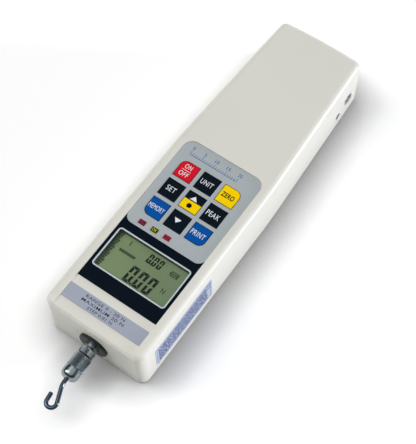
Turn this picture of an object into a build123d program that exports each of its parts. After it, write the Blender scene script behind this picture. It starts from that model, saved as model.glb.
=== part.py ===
from build123d import *
from math import atan, cos, degrees, radians, sin, sqrt
import os

# Hand-held digital force gauge with a hook on its measuring spindle.
#
# Frame: +X to the right as the display reads, +Y along the measuring axis towards the rear
# (the hook points to -Y), +Z out of the display face. The origin is the centre of the four
# stand holes, on the flat back face. All sizes are in millimetres.
# "From the front" below means measured along +Y from the front wall of the housing.

# ------------------------------------------------------------------ housing
body_length = 230.0
body_width = 66.0
body_height = 36.0
rear_taper = 5.0             # how far each side comes in by the rear wall
straight_length = 125.0      # from the front, where the sides begin to taper
rear_bow = 1.0               # how far the rear wall bows out at its middle
taper_blend_radius = 400.0
front_corner_radius = 5.5
rear_corner_radius = 4.5
top_edge_radius = 3.5
side_wall = 2.6
roof = 3.6                   # inner ceiling to the outer top face
back_plate = 3.0             # thickness of the rear cover
bottom_edge_radius = 1.5
lip_height = 2.0             # locating lip of the rear cover
lip_width = 1.2
lip_clearance = 0.15
cut_past = 1.0               # how far a cut or a drilled hole runs past what it must clear

# ------------------------------------------------------------------ stand holes
stand_pitch_x = 30.0
stand_from_ends = 50.0       # the holes from the front wall and from the rear wall
stand_thread_diameter = 4.0
insert_diameter = 7.0
insert_length = 8.0

# ------------------------------------------------------------------ recess and its plates
recess_half_width = 26.6
recess_end_from_front = 127.9
recess_corner_radius = 6.5
recess_depth = 0.8
plate_thickness = 0.35
plate_gap = 0.10             # plates to the recess wall and to each other
rating_start, rating_end = 7.7, 17.2         # from the front
display_start, keypad_start = 22.7, 64.3     # from the front
keypad_lower_corner = 5.0

# ------------------------------------------------------------------ display
window_half_width = 23.8
window_start, window_end = 32.75, 58.3       # clear opening, from the front
window_corner_radius = 1.2
trim_width = 0.8
trim_proud = 0.12
window_plate = 1.5
window_ledge = 1.4
lcd_thickness = 2.8
lcd_margin = 1.2             # the glass past the window opening on each side
holder_wall = 1.6
board_drop = 5.4             # inner ceiling to the top of the main board
board_thickness = 1.6
board_wall_gap = 1.4
board_start, board_end = 22.0, 128.0         # from the front
board_screw_inset = 4.0

# ------------------------------------------------------------------ keys and lamps
key_width, key_length = 11.8, 12.0
key_pitch_x, key_pitch_y = 14.5, 14.55
key_field_x = -0.4
key_middle_row = 94.15       # from the front
key_outer_corner = 4.0       # the rounded outer corner of the four corner keys
key_proud = 0.12
key_gap = 0.12
key_rim = 0.4                # flange under the keypad plate, per side
key_rim_thickness = 0.5
key_rim_drop = 0.06          # flange top below the keypad plate
key_travel = 0.4
key_pocket_clearance = 0.2
key_stem = 3.6                # square stem, side length
key_stem_clearance = 0.2
switch_size = 6.2
switch_height = 3.4
switch_well_depth = 1.3
switch_floor_clearance = 0.25
lamp_width, lamp_length = 4.4, 3.0
lamp_pitch = 8.5
lamp_first_x = -16.2
lamp_row = 68.0              # from the front
lamp_gap = 0.1
lamp_base_size, lamp_base_height = 5.4, 1.8

buzzer_diameter, buzzer_height, buzzer_hole_diameter = 10.0, 5.0, 2.0
buzzer_x, buzzer_inset = 15.0, 7.5           # inset from the rear edge of the main board

# ------------------------------------------------------------------ measuring chain
axis_below_middle = 1.5      # the measuring axis below half the height of the housing
thread_diameter = 6.0
thread_clearance = 0.05      # radial, in every bore that turns or slides on the spindle
shank_diameter = 8.0
shank_front = 3.0            # shank face in front of the front wall
stud_reach = 15.5            # stud end in front of the front wall
collar_diameter = 18.4
collar_thickness = 1.8
collar_bore_clearance = 0.35
spigot_diameter = 12.0
spigot_clearance = 0.05
collar_nut_size = 17.0       # across flats
collar_nut_thickness = 3.0
spigot_past_nut = 0.6
turned_chamfer = 0.5         # on the spindle and the collar
cell_start = 20.0            # load cell front face, from the front
cell_length, cell_width, cell_thickness = 38.0, 38.0, 10.0
cell_arm = 8.0
cell_slot = 2.0
cell_slot_stop = 8.0         # uncut width at the closed end of each slot
cell_hole_diameter = 12.0
cell_corner_radius = 1.5
spindle_tail = 7.4
spindle_shoulder_gap = 0.4
bracket_thickness = 8.0
bracket_foot = 4.0
bracket_foot_length = 26.0
bracket_width = 44.0
bracket_rib = 3.0
bracket_screw_diameter = 4.0
bracket_screw_x = 10.0
bracket_screw_rows = (13.0, 22.0)            # behind the load cell
bracket_thread_depth = 2.4
bracket_screw_end_gap = 0.2
cell_screw_x, cell_screw_depth = 8.0, 7.0
cell_screw_end_gap = 0.5
socket_head_diameter, socket_head_height, socket_key = 7.0, 3.4, 3.0

# ------------------------------------------------------------------ attachment on the spindle
ring_start, ring_length, ring_diameter = 4.3, 4.4, 9.4       # starts in front of the wall
ring_chamfer = 0.4
adapter_gap = 0.2
adapter_edge = 0.4
stud_end_gap = 0.8           # bottom of the adapter's bore in front of the stud
adapter_diameter = 10.4
knurl_length = 8.9
groove_width, groove_depth = 0.7, 0.45
band_length = 2.6
dome_length = 3.4
dome_nose_diameter = 4.8
wire_diameter = 2.5
wire_seat_depth = 4.0
hook_neck = 1.1              # straight wire in front of the dome
hook_lean = 23.3             # degrees that the shank leans to the side
hook_lean_radius = 12.0
hook_shank = 8.7             # straight leaning wire
hook_bowl_radius = 2.95      # to the middle of the wire
hook_tip_flare = 7.3         # degrees that the tip opens outwards
hook_tip = 4.9
tip_chamfer = 0.35

# ------------------------------------------------------------------ power and ports
cell_pitch, cell_radius, battery_length = 14.4, 7.2, 50.5
battery_web = 11.5           # height of the flat sleeve between the cells
battery_bracket_gap = 8.0    # battery behind the foot of the load cell bracket
tray_base, tray_wall, tray_side = 2.0, 1.6, 8.0
tray_clearance = 0.25
strap_width, strap_thickness = 14.0, 0.8
jack_from_rear, jack_height = 26.5, 10.2
jack_width, jack_body_height, jack_depth = 9.0, 6.4, 12.0
jack_nose_diameter, jack_bore_diameter, jack_pin_diameter = 6.6, 5.0, 1.7
jack_bottom = 2.0            # solid end of the jack behind its bore
pin_recess = 1.0             # pins of both sockets behind the outside
port_from_rear, port_height = 14.5, 14.0
port_width, port_depth = 11.0, 11.0
port_nose_diameter, port_bore_diameter, port_bore_depth = 10.4, 8.6, 5.0
port_pin_diameter, port_pin_circle, port_pins = 1.0, 5.4, 5
port_board_thickness = 1.6
port_board_inward = 7.7      # the board past the inner end of the jack
port_board_forward = 6.0     # the board in front of the jack
port_board_rear_gap = 10.6   # the board to the rear end of the housing
port_board_side_gap = 1.0
post_diameter, post_inset = 5.0, 3.8
socket_body_gap = 0.3        # socket bodies behind the side wall
nose_clearance = 0.1
label_start, label_end = 12.3, 65.0          # side label, from the front
label_low, label_high = 7.0, 27.0
label_thickness = 0.2
label_corner = 1.5

# ------------------------------------------------------------------ screws
cover_screw_diameter, cover_screw_head, cover_screw_length = 3.0, 5.6, 12.0
boss_diameter = 7.0
boss_sink = 0.2              # how far a boss runs into the side wall beside it
front_boss_from_front = 9.7
rear_boss_x = 10.0
tray_boss_gap = 1.0
board_boss_diameter, board_screw_diameter = 5.0, 2.0
board_screw_head, board_screw_head_height, board_screw_length = 3.8, 1.4, 6.0
post_screw_end_gap = 0.2
screw_clearance = 0.02

# ------------------------------------------------------------------ derived places
half_width = body_width / 2
rear_half_width = half_width - rear_taper
axis_height = body_height / 2 - axis_below_middle
front = -body_length / 2
rear = body_length / 2
stand_pitch_y = body_length - 2 * stand_from_ends
inner_half_width = half_width - side_wall
recess_floor = body_height - recess_depth
plate_top = recess_floor + plate_thickness
ceiling = body_height - roof
board_top = ceiling - board_drop
board_bottom = board_top - board_thickness
wall_inside = front + side_wall
taper_slope = rear_taper / (body_length - rear_bow - straight_length)


def side_x(distance):
    """Half width of the housing at a distance from the front."""
    return half_width - max(0.0, distance - straight_length) * taper_slope


def from_front(distance):
    """The y coordinate at a distance from the front wall."""
    return front + distance


def boss_x(distance):
    """Middle of a screw boss that stands against the side wall."""
    return side_x(distance) - side_wall + boss_sink - boss_diameter / 2


key_rows = [from_front(key_middle_row + key_pitch_y * step) for step in (1, 0, -1)]
key_columns = [key_field_x + key_pitch_x * step for step in (-1, 0, 1)]
key_places = [(x, y) for x in key_columns for y in key_rows]
lamp_places = [(lamp_first_x + lamp_pitch * step, from_front(lamp_row)) for step in range(3)]
stand_holes = [(x * stand_pitch_x / 2, y * stand_pitch_y / 2) for x in (-1, 1) for y in (-1, 1)]

lcd_half_width = window_half_width + lcd_margin
lcd_start, lcd_end = window_start - lcd_margin, window_end + lcd_margin
board_edge = inner_half_width - board_wall_gap
board_screw_x = board_edge - board_boss_diameter / 2
board_screw_rows = (board_start + board_screw_inset,
                    lcd_end + holder_wall + board_screw_inset, board_end - board_screw_inset)
board_screws = [(side * board_screw_x, from_front(y)) for y in board_screw_rows for side in (-1, 1)]

cell_end = cell_start + cell_length
bracket_end = cell_end + bracket_foot_length
bracket_screws = [(side * bracket_screw_x, from_front(cell_end + y))
                  for y in bracket_screw_rows for side in (-1, 1)]
battery_start = bracket_end + battery_bracket_gap
battery_end = battery_start + battery_length
tray_start = battery_start - tray_clearance - tray_wall
tray_end = battery_end + tray_clearance + tray_wall

middle_boss = tray_end + tray_boss_gap + boss_diameter / 2
rear_boss = body_length - side_wall - boss_diameter / 2
cover_screws = [(side * x, from_front(y)) for side in (-1, 1) for x, y in
                ((boss_x(front_boss_from_front), front_boss_from_front),
                 (boss_x(middle_boss), middle_boss), (rear_boss_x, rear_boss))]

jack_from_front = body_length - jack_from_rear
port_from_front = body_length - port_from_rear
jack_face = side_x(jack_from_front)
port_face = side_x(port_from_front)
jack_body_end = side_x(jack_from_front + jack_width / 2) - side_wall - socket_body_gap
port_body_end = side_x(port_from_front + port_width / 2) - side_wall - socket_body_gap
port_board_top = jack_height - jack_body_height / 2
port_board_bottom = port_board_top - port_board_thickness
port_board_start = jack_from_front - jack_width / 2 - port_board_forward
port_board_end = body_length - port_board_rear_gap
port_board_low_x = jack_body_end - jack_depth - port_board_inward
port_board_high_x = side_x(port_board_end) - side_wall - port_board_side_gap
port_board_posts = [(port_board_low_x + post_inset, from_front(y))
                    for y in (port_board_start + post_inset, port_board_end - post_inset)]


def housing_outline(inset):
    """Plan outline of the housing, moved inwards all round by inset."""
    corner_y = rear - rear_bow
    with BuildSketch() as outline:
        with BuildLine():
            Polyline((-rear_half_width, corner_y), (-half_width, from_front(straight_length)),
                     (-half_width, front), (half_width, front),
                     (half_width, from_front(straight_length)), (rear_half_width, corner_y))
            ThreePointArc((rear_half_width, corner_y), (0, rear), (-rear_half_width, corner_y))
        make_face()
        corners = outline.vertices().group_by(Axis.Y)
        fillet(corners[0], front_corner_radius)
        fillet(outline.vertices().filter_by(
            lambda v: abs(v.Y - from_front(straight_length)) < 0.01), taper_blend_radius)
        fillet(outline.vertices().filter_by(
            lambda v: abs(abs(v.X) - rear_half_width) < 0.01), rear_corner_radius)
        if inset:
            offset(amount=-inset, kind=Kind.INTERSECTION)
    return outline.sketch


def recess_outline(start, end, gap):
    """Strip of the recess between two distances from the front, gap inside its walls."""
    width = 2 * (recess_half_width - gap)
    with BuildSketch() as strip:
        with Locations((0, from_front((start + end) / 2))):
            Rectangle(width, end - start)
    return strip.sketch


def keypad_outline(gap):
    """The keypad plate: round upper corners in the recess, smaller lower ones."""
    with BuildSketch() as plate:
        add(recess_outline(keypad_start + gap, recess_end_from_front - gap, gap))
        fillet(plate.vertices().group_by(Axis.Y)[-1], recess_corner_radius - gap)
        fillet(plate.vertices().group_by(Axis.Y)[0], keypad_lower_corner)
    return plate.sketch


def window_outline(grow):
    """The clear opening over the display, grown all round."""
    with BuildSketch() as opening:
        with Locations((0, from_front((window_start + window_end) / 2))):
            RectangleRounded(2 * (window_half_width + grow), window_end - window_start + 2 * grow,
                             window_corner_radius + grow)
    return opening.sketch


def key_outline(column, row, grow):
    """One key, grown all round; a corner key of the field has one large round corner."""
    x, y = key_columns[column], key_rows[row]
    outer = (x + (column - 1) * key_width / 2, y + (1 - row) * key_length / 2, 0)
    with BuildSketch() as key:
        with Locations((x, y)):
            Rectangle(key_width + 2 * grow, key_length + 2 * grow)
        if column != 1 and row != 1:
            fillet(key.vertices().sort_by_distance(outer)[0], key_outer_corner + grow)
    return key.sketch


def station(distance):
    """Plane across the measuring axis at a distance from the front, facing forwards."""
    return Plane(origin=(0, from_front(distance), axis_height), x_dir=(1, 0, 0), z_dir=(0, -1, 0))


def rod(diameter, start, end, mode=Mode.ADD):
    """Round bar on the measuring axis between two distances from the front."""
    with BuildSketch(station(end)) as section:
        Circle(diameter / 2)
    extrude(section.sketch, amount=end - start, mode=mode)


def upright_rods(places, diameter, low, high, mode=Mode.ADD):
    """Round bars along Z at each place."""
    with BuildSketch(Plane.XY.offset(low)) as section:
        with Locations(*places):
            Circle(diameter / 2)
    extrude(section.sketch, amount=high - low, mode=mode)


def square_posts(places, side, low, high, mode=Mode.ADD):
    """Square bars along Z at each place."""
    with BuildSketch(Plane.XY.offset(low)) as section:
        with Locations(*places):
            Rectangle(side, side)
    extrude(section.sketch, amount=high - low, mode=mode)


def side_rod(distance, height, diameter, x_start, x_end, mode=Mode.ADD):
    """Round bar along X at a distance from the front and a height above the back face."""
    side_plane = Plane(origin=(x_start, from_front(distance), height), x_dir=(0, 1, 0), z_dir=(1, 0, 0))
    with BuildSketch(side_plane) as section:
        Circle(diameter / 2)
    extrude(section.sketch, amount=x_end - x_start, mode=mode)


def slab(sketch, low, high, mode=Mode.ADD):
    """A flat layer of the given outline between two heights."""
    with BuildSketch(Plane.XY.offset(low)) as layer:
        add(sketch)
    extrude(layer.sketch, amount=high - low, mode=mode)


def block(x_low, x_high, start, end, low, high, mode=Mode.ADD):
    """A box between two x values, two distances from the front and two heights."""
    with BuildSketch(Plane.XY.offset(low)) as footprint:
        with Locations(((x_low + x_high) / 2, from_front((start + end) / 2))):
            Rectangle(x_high - x_low, end - start)
    extrude(footprint.sketch, amount=high - low, mode=mode)


# ------------------------------------------------------------------ housing shells
key_pocket_depth = key_rim_drop + key_rim_thickness + key_travel + key_pocket_clearance

with BuildPart() as front_cover:
    slab(housing_outline(0), back_plate, body_height)
    fillet(front_cover.faces().sort_by(Axis.Z)[-1].edges(), top_edge_radius)
    slab(housing_outline(side_wall), back_plate, ceiling, Mode.SUBTRACT)
    upright_rods(cover_screws, boss_diameter, back_plate, ceiling)
    upright_rods(board_screws, board_boss_diameter, board_top, ceiling)
    # the recess for the plates runs out through the front edge
    with BuildSketch(Plane.XY.offset(recess_floor)) as channel:
        add(recess_outline(-cut_past, recess_end_from_front, 0))
        fillet(channel.vertices().group_by(Axis.Y)[-1], recess_corner_radius)
    extrude(amount=recess_depth, mode=Mode.SUBTRACT)
    slab(window_outline(0), ceiling, recess_floor, Mode.SUBTRACT)
    slab(window_outline(window_ledge), recess_floor - window_plate, recess_floor, Mode.SUBTRACT)
    for column in range(3):
        for row in range(3):
            slab(key_outline(column, row, key_rim + key_pocket_clearance),
                 recess_floor - key_pocket_depth, recess_floor, Mode.SUBTRACT)
    square_posts(key_places, key_stem + 2 * key_stem_clearance, ceiling, recess_floor, Mode.SUBTRACT)
    with BuildSketch(Plane.XY.offset(ceiling)):
        with Locations(*lamp_places):
            Rectangle(lamp_width + 2 * lamp_gap, lamp_length + 2 * lamp_gap)
    extrude(amount=roof, mode=Mode.SUBTRACT)
    # screw holes, the spindle's hole and the two side sockets
    upright_rods(cover_screws, cover_screw_diameter + 2 * screw_clearance, back_plate,
                 cover_screw_length + cut_past, Mode.SUBTRACT)
    upright_rods(board_screws, board_screw_diameter + 2 * screw_clearance, board_top,
                 board_bottom + board_screw_length + cut_past, Mode.SUBTRACT)
    rod(spigot_diameter + 2 * spigot_clearance, -cut_past, side_wall + cut_past, Mode.SUBTRACT)
    side_rod(jack_from_front, jack_height, jack_nose_diameter + 2 * nose_clearance,
             jack_face - 2 * side_wall, jack_face + cut_past, Mode.SUBTRACT)
    side_rod(port_from_front, port_height, port_nose_diameter + 2 * nose_clearance,
             port_face - 2 * side_wall, port_face + cut_past, Mode.SUBTRACT)
front_cover.part.label = "front_cover"

with BuildPart() as rear_cover:
    slab(housing_outline(0), 0, back_plate)
    fillet(rear_cover.faces().sort_by(Axis.Z)[0].edges(), bottom_edge_radius)
    with BuildSketch(Plane.XY.offset(back_plate)):
        add(housing_outline(side_wall + lip_clearance))
        add(housing_outline(side_wall + lip_clearance + lip_width), mode=Mode.SUBTRACT)
        with Locations(*cover_screws):
            Circle(boss_diameter / 2 + lip_clearance, mode=Mode.SUBTRACT)
    extrude(amount=lip_height)
    upright_rods(port_board_posts, post_diameter, back_plate, port_board_bottom)
    upright_rods(port_board_posts, board_screw_diameter + 2 * screw_clearance,
                 back_plate, port_board_bottom, Mode.SUBTRACT)
    upright_rods(stand_holes, insert_diameter, 0, back_plate, Mode.SUBTRACT)
    upright_rods(bracket_screws, bracket_screw_diameter + 2 * screw_clearance,
                 back_plate - bracket_thread_depth, back_plate, Mode.SUBTRACT)
    with Locations(Plane.XY.rotated((180, 0, 0))):
        with Locations(*[(x, -y) for x, y in cover_screws]):
            CounterSinkHole(cover_screw_diameter / 2 + screw_clearance,
                            cover_screw_head / 2 + screw_clearance, depth=back_plate,
                            counter_sink_angle=90)
rear_cover.part.label = "rear_cover"

with BuildPart() as cover_screw_set:
    upright_rods(cover_screws, cover_screw_diameter, 0, cover_screw_length)
    with BuildSketch(Plane.XY):
        with Locations(*cover_screws):
            Circle(cover_screw_head / 2)
    extrude(amount=(cover_screw_head - cover_screw_diameter) / 2, taper=45)
cover_screw_set.part.label = "cover_screws"

with BuildPart() as stand_inserts:
    upright_rods(stand_holes, insert_diameter, 0, insert_length)
    upright_rods(stand_holes, stand_thread_diameter, 0, insert_length, Mode.SUBTRACT)
stand_inserts.part.label = "stand_inserts"

# ------------------------------------------------------------------ plates in the recess
with BuildPart() as rating_plate:
    slab(recess_outline(rating_start, rating_end, plate_gap), recess_floor, plate_top)
rating_plate.part.label = "rating_plate"

with BuildPart() as display_panel:
    slab(recess_outline(display_start, keypad_start + keypad_lower_corner, plate_gap),
         recess_floor, plate_top)
    slab(keypad_outline(0), recess_floor, plate_top, Mode.SUBTRACT)
    slab(window_outline(trim_width + plate_gap / 2), recess_floor, plate_top, Mode.SUBTRACT)
display_panel.part.label = "display_panel"

with BuildPart() as window_trim:
    slab(window_outline(trim_width), recess_floor, plate_top + trim_proud)
    slab(window_outline(0), recess_floor, plate_top + trim_proud, Mode.SUBTRACT)
window_trim.part.label = "window_trim"

with BuildPart() as display_window:
    slab(window_outline(window_ledge - plate_gap / 2), recess_floor - window_plate, recess_floor)
display_window.part.label = "display_window"

with BuildPart() as keypad_plate:
    slab(keypad_outline(plate_gap), recess_floor, plate_top)
    for column in range(3):
        for row in range(3):
            slab(key_outline(column, row, key_gap), recess_floor, plate_top, Mode.SUBTRACT)
    with BuildSketch(Plane.XY.offset(recess_floor)):
        with Locations(*lamp_places):
            Rectangle(lamp_width + 2 * lamp_gap, lamp_length + 2 * lamp_gap)
    extrude(amount=plate_thickness, mode=Mode.SUBTRACT)
keypad_plate.part.label = "keypad_plate"

# ------------------------------------------------------------------ keys, each on its switch
key_names = [["key_on_off", "key_unit", "key_zero"],
             ["key_set", "key_up", "key_peak"],
             ["key_memory", "key_down", "key_print"]]
rim_top = recess_floor - key_rim_drop
switch_top = board_top + switch_height
switch_well_floor = switch_top - switch_well_depth
stem_end = switch_well_floor + key_travel + switch_floor_clearance
keys = []
for row in range(3):
    for column in range(3):
        with BuildPart() as key:
            slab(key_outline(column, row, 0), rim_top - key_rim_thickness, plate_top + key_proud)
            slab(key_outline(column, row, key_rim), rim_top - key_rim_thickness, rim_top)
            square_posts([(key_columns[column], key_rows[row])], key_stem,
                         stem_end, rim_top - key_rim_thickness)
        key.part.label = key_names[row][column]
        keys.append(key.part)

with BuildPart() as key_switches:
    with BuildSketch(Plane.XY.offset(board_top)):
        with Locations(*key_places):
            Rectangle(switch_size, switch_size)
    extrude(amount=switch_height)
    square_posts(key_places, key_stem + 2 * key_stem_clearance, switch_well_floor, switch_top,
                 Mode.SUBTRACT)
key_switches.part.label = "key_switches"

lamps = []
for name, place in zip(("lamp_low", "lamp_ok", "lamp_high"), lamp_places):
    with BuildPart() as lamp:
        with BuildSketch(Plane.XY.offset(board_top)):
            with Locations(place):
                Rectangle(lamp_base_size, lamp_base_size)
        extrude(amount=lamp_base_height)
        with BuildSketch(Plane.XY.offset(board_top + lamp_base_height)):
            with Locations(place):
                Rectangle(lamp_width, lamp_length)
        extrude(amount=plate_top + key_proud - board_top - lamp_base_height)
    lamp.part.label = name
    lamps.append(lamp.part)

# ------------------------------------------------------------------ display and main board
with BuildPart() as lcd_glass:
    block(-lcd_half_width, lcd_half_width, lcd_start, lcd_end, ceiling - lcd_thickness, ceiling)
lcd_glass.part.label = "lcd_glass"

with BuildPart() as lcd_holder:
    block(-lcd_half_width - holder_wall, lcd_half_width + holder_wall,
          lcd_start - holder_wall, lcd_end + holder_wall, board_top, ceiling)
    block(-lcd_half_width - plate_gap, lcd_half_width + plate_gap, lcd_start - plate_gap,
          lcd_end + plate_gap, ceiling - lcd_thickness, ceiling, Mode.SUBTRACT)
lcd_holder.part.label = "lcd_holder"

with BuildPart() as main_board:
    block(-board_edge, board_edge, board_start, board_end, board_bottom, board_top)
    upright_rods(board_screws, board_screw_diameter + 2 * screw_clearance,
                 board_bottom, board_top, Mode.SUBTRACT)
main_board.part.label = "main_board"

with BuildPart() as board_screw_set:
    upright_rods(board_screws, board_screw_head, board_bottom - board_screw_head_height, board_bottom)
    upright_rods(board_screws, board_screw_diameter, board_bottom, board_bottom + board_screw_length)
board_screw_set.part.label = "board_screws"

buzzer_place = [(buzzer_x, from_front(board_end - buzzer_inset))]
with BuildPart() as buzzer:
    upright_rods(buzzer_place, buzzer_diameter, board_top, board_top + buzzer_height)
    upright_rods(buzzer_place, buzzer_hole_diameter, board_top + buzzer_height / 2,
                 board_top + buzzer_height, Mode.SUBTRACT)
buzzer.part.label = "buzzer"

# ------------------------------------------------------------------ load cell and its bracket
with BuildPart() as load_cell:
    with BuildSketch(Plane.XY.offset(axis_height - cell_thickness / 2)) as s_beam:
        with Locations((0, from_front(cell_start + cell_length / 2))):
            Rectangle(cell_width, cell_length)
        fillet(s_beam.vertices(), cell_corner_radius)
        with Locations((-cell_slot_stop / 2, from_front(cell_start + cell_arm + cell_slot / 2))):
            Rectangle(cell_width - cell_slot_stop, cell_slot, mode=Mode.SUBTRACT)
        with Locations((cell_slot_stop / 2, from_front(cell_end - cell_arm - cell_slot / 2))):
            Rectangle(cell_width - cell_slot_stop, cell_slot, mode=Mode.SUBTRACT)
        with Locations((0, from_front(cell_start + cell_length / 2))):
            Circle(cell_hole_diameter / 2, mode=Mode.SUBTRACT)
    extrude(amount=cell_thickness)
    rod(thread_diameter + 2 * thread_clearance, cell_start, cell_start + cell_arm, Mode.SUBTRACT)
    with BuildSketch(station(cell_end)):
        with Locations((-cell_screw_x, 0), (cell_screw_x, 0)):
            Circle(bracket_screw_diameter / 2 + screw_clearance)
    extrude(amount=cell_screw_depth, mode=Mode.SUBTRACT)
load_cell.part.label = "load_cell"

with BuildPart() as load_cell_bracket:
    upright_end = cell_end + bracket_thickness
    bracket_top = axis_height + cell_thickness / 2
    block(-bracket_width / 2, bracket_width / 2, cell_end, bracket_end,
          back_plate, back_plate + bracket_foot)
    block(-bracket_width / 2, bracket_width / 2, cell_end, upright_end,
          back_plate + bracket_foot, bracket_top)
    for side in (-1, 1):
        rib_middle = side * (bracket_width - bracket_rib) / 2
        with BuildSketch(Plane.YZ.offset(rib_middle)):
            with BuildLine():
                Polyline((from_front(upright_end), back_plate + bracket_foot),
                         (from_front(bracket_end), back_plate + bracket_foot),
                         (from_front(upright_end), bracket_top), close=True)
            make_face()
        extrude(amount=bracket_rib / 2, both=True)
    with BuildSketch(station(upright_end)):
        with Locations((-cell_screw_x, 0), (cell_screw_x, 0)):
            Circle(bracket_screw_diameter / 2 + screw_clearance)
    extrude(amount=bracket_thickness, mode=Mode.SUBTRACT)
    upright_rods(bracket_screws, bracket_screw_diameter + 2 * screw_clearance,
                 back_plate, back_plate + bracket_foot, Mode.SUBTRACT)
load_cell_bracket.part.label = "load_cell_bracket"

with BuildPart() as load_cell_screws:
    with BuildSketch(station(upright_end)):
        with Locations((-cell_screw_x, 0), (cell_screw_x, 0)):
            Circle(bracket_screw_diameter / 2)
    extrude(amount=bracket_thickness + cell_screw_depth - cell_screw_end_gap)
    with BuildSketch(station(upright_end + socket_head_height)):
        with Locations((-cell_screw_x, 0), (cell_screw_x, 0)):
            Circle(socket_head_diameter / 2)
            RegularPolygon(socket_key / 2, 6, major_radius=False, mode=Mode.SUBTRACT)
    extrude(amount=socket_head_height)
load_cell_screws.part.label = "load_cell_screws"

with BuildPart() as bracket_screw_set:
    upright_rods(bracket_screws, bracket_screw_diameter,
                 back_plate - bracket_thread_depth + bracket_screw_end_gap, back_plate + bracket_foot)
    with BuildSketch(Plane.XY.offset(back_plate + bracket_foot)):
        with Locations(*bracket_screws):
            Circle(socket_head_diameter / 2)
            RegularPolygon(socket_key / 2, 6, major_radius=False, mode=Mode.SUBTRACT)
    extrude(amount=socket_head_height)
bracket_screw_set.part.label = "bracket_screws"

# ------------------------------------------------------------------ spindle and collar
with BuildPart() as measuring_spindle:
    shoulder = cell_start - spindle_shoulder_gap
    rod(thread_diameter, -stud_reach, -shank_front)
    chamfer(measuring_spindle.faces().sort_by(Axis.Y)[0].edges(), turned_chamfer)
    rod(shank_diameter, -shank_front, shoulder)
    rod(thread_diameter, shoulder, cell_start + spindle_tail)
measuring_spindle.part.label = "measuring_spindle"

spigot_end = side_wall + collar_nut_thickness + spigot_past_nut
with BuildPart() as shaft_collar:
    rod(collar_diameter, -collar_thickness, 0)
    chamfer(shaft_collar.faces().sort_by(Axis.Y)[0].edges(), turned_chamfer)
    rod(spigot_diameter, 0, spigot_end)
    rod(shank_diameter + 2 * collar_bore_clearance, -collar_thickness, spigot_end, Mode.SUBTRACT)
shaft_collar.part.label = "shaft_collar"

with BuildPart() as collar_nut:
    with BuildSketch(station(side_wall + collar_nut_thickness)):
        RegularPolygon(collar_nut_size / 2, 6, major_radius=False)
        Circle(spigot_diameter / 2 + spigot_clearance, mode=Mode.SUBTRACT)
    extrude(amount=collar_nut_thickness)
collar_nut.part.label = "collar_nut"

# ------------------------------------------------------------------ ring, adapter and hook
ring_end = ring_start + ring_length
adapter_start = ring_end + adapter_gap
groove_start = adapter_start + knurl_length
band_start = groove_start + groove_width
dome_start = band_start + band_length
dome_end = dome_start + dome_length
axis_sketch_plane = Plane(origin=(0, front, axis_height), x_dir=(1, 0, 0), z_dir=(0, 0, 1))
measuring_axis = Axis((0, front, axis_height), (0, 1, 0))

with BuildPart() as lock_ring:
    rod(ring_diameter, -ring_end, -ring_start)
    chamfer(lock_ring.edges().filter_by(GeomType.CIRCLE), ring_chamfer)
    rod(thread_diameter + 2 * thread_clearance, -ring_end, -ring_start, Mode.SUBTRACT)
lock_ring.part.label = "lock_ring"

with BuildPart() as hook_adapter:
    radius = adapter_diameter / 2
    with BuildSketch(axis_sketch_plane):
        with BuildLine():
            body = Polyline((0, -adapter_start), (radius - adapter_edge, -adapter_start),
                            (radius, -adapter_start - adapter_edge), (radius, -groove_start),
                            (radius - groove_depth, -groove_start), (radius - groove_depth, -band_start),
                            (radius, -band_start), (radius, -dome_start))
            dome = TangentArc((radius, -dome_start), (dome_nose_diameter / 2, -dome_end),
                              tangent=(0, -1))
            Polyline((dome_nose_diameter / 2, -dome_end), (0, -dome_end), (0, -adapter_start))
        make_face()
    revolve(axis=measuring_axis)
    rod(thread_diameter + 2 * thread_clearance, -stud_reach - stud_end_gap, -adapter_start, Mode.SUBTRACT)
    rod(wire_diameter + 2 * screw_clearance, -dome_end, -dome_end + wire_seat_depth, Mode.SUBTRACT)
hook_adapter.part.label = "hook_adapter"

with BuildPart() as hook:
    with BuildLine(axis_sketch_plane) as wire:
        neck = Line((0, -dome_end + wire_seat_depth), (0, -dome_end - hook_neck))
        lean = JernArc(neck @ 1, neck % 1, hook_lean_radius, hook_lean)
        shank = Line(lean @ 1, lean @ 1 + hook_shank * (lean % 1))
        bowl = JernArc(shank @ 1, shank % 1, hook_bowl_radius, hook_tip_flare - hook_lean - 180)
        Line(bowl @ 1, bowl @ 1 + hook_tip * (bowl % 1))
    for run in wire.line.edges():
        with BuildSketch(Plane(origin=run @ 0, z_dir=run % 0)):
            Circle(wire_diameter / 2)
        sweep(path=run)
    tip_face = hook.faces().filter_by(GeomType.PLANE).sort_by(Axis.X)[0]
    chamfer(tip_face.edges(), tip_chamfer)
hook.part.label = "hook"

# ------------------------------------------------------------------ battery
battery_half_width = cell_pitch + cell_radius
battery_height = back_plate + tray_base + cell_radius

with BuildPart() as battery_pack:
    with BuildSketch(Plane(origin=(0, from_front(battery_end), battery_height),
                           x_dir=(1, 0, 0), z_dir=(0, -1, 0))) as lobes:
        with Locations((-cell_pitch, 0), (0, 0), (cell_pitch, 0)):
            Circle(cell_radius)
        Rectangle(2 * cell_pitch, battery_web)
    extrude(amount=battery_length)
battery_pack.part.label = "battery_pack"

tray_half_width = battery_half_width + tray_clearance + tray_wall
with BuildPart() as battery_tray:
    block(-tray_half_width, tray_half_width, tray_start, tray_end,
          back_plate, back_plate + tray_base + tray_side)
    block(-tray_half_width + tray_wall, tray_half_width - tray_wall, tray_start + tray_wall,
          tray_end - tray_wall, back_plate + tray_base, back_plate + tray_base + tray_side,
          Mode.SUBTRACT)
battery_tray.part.label = "battery_tray"

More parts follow.
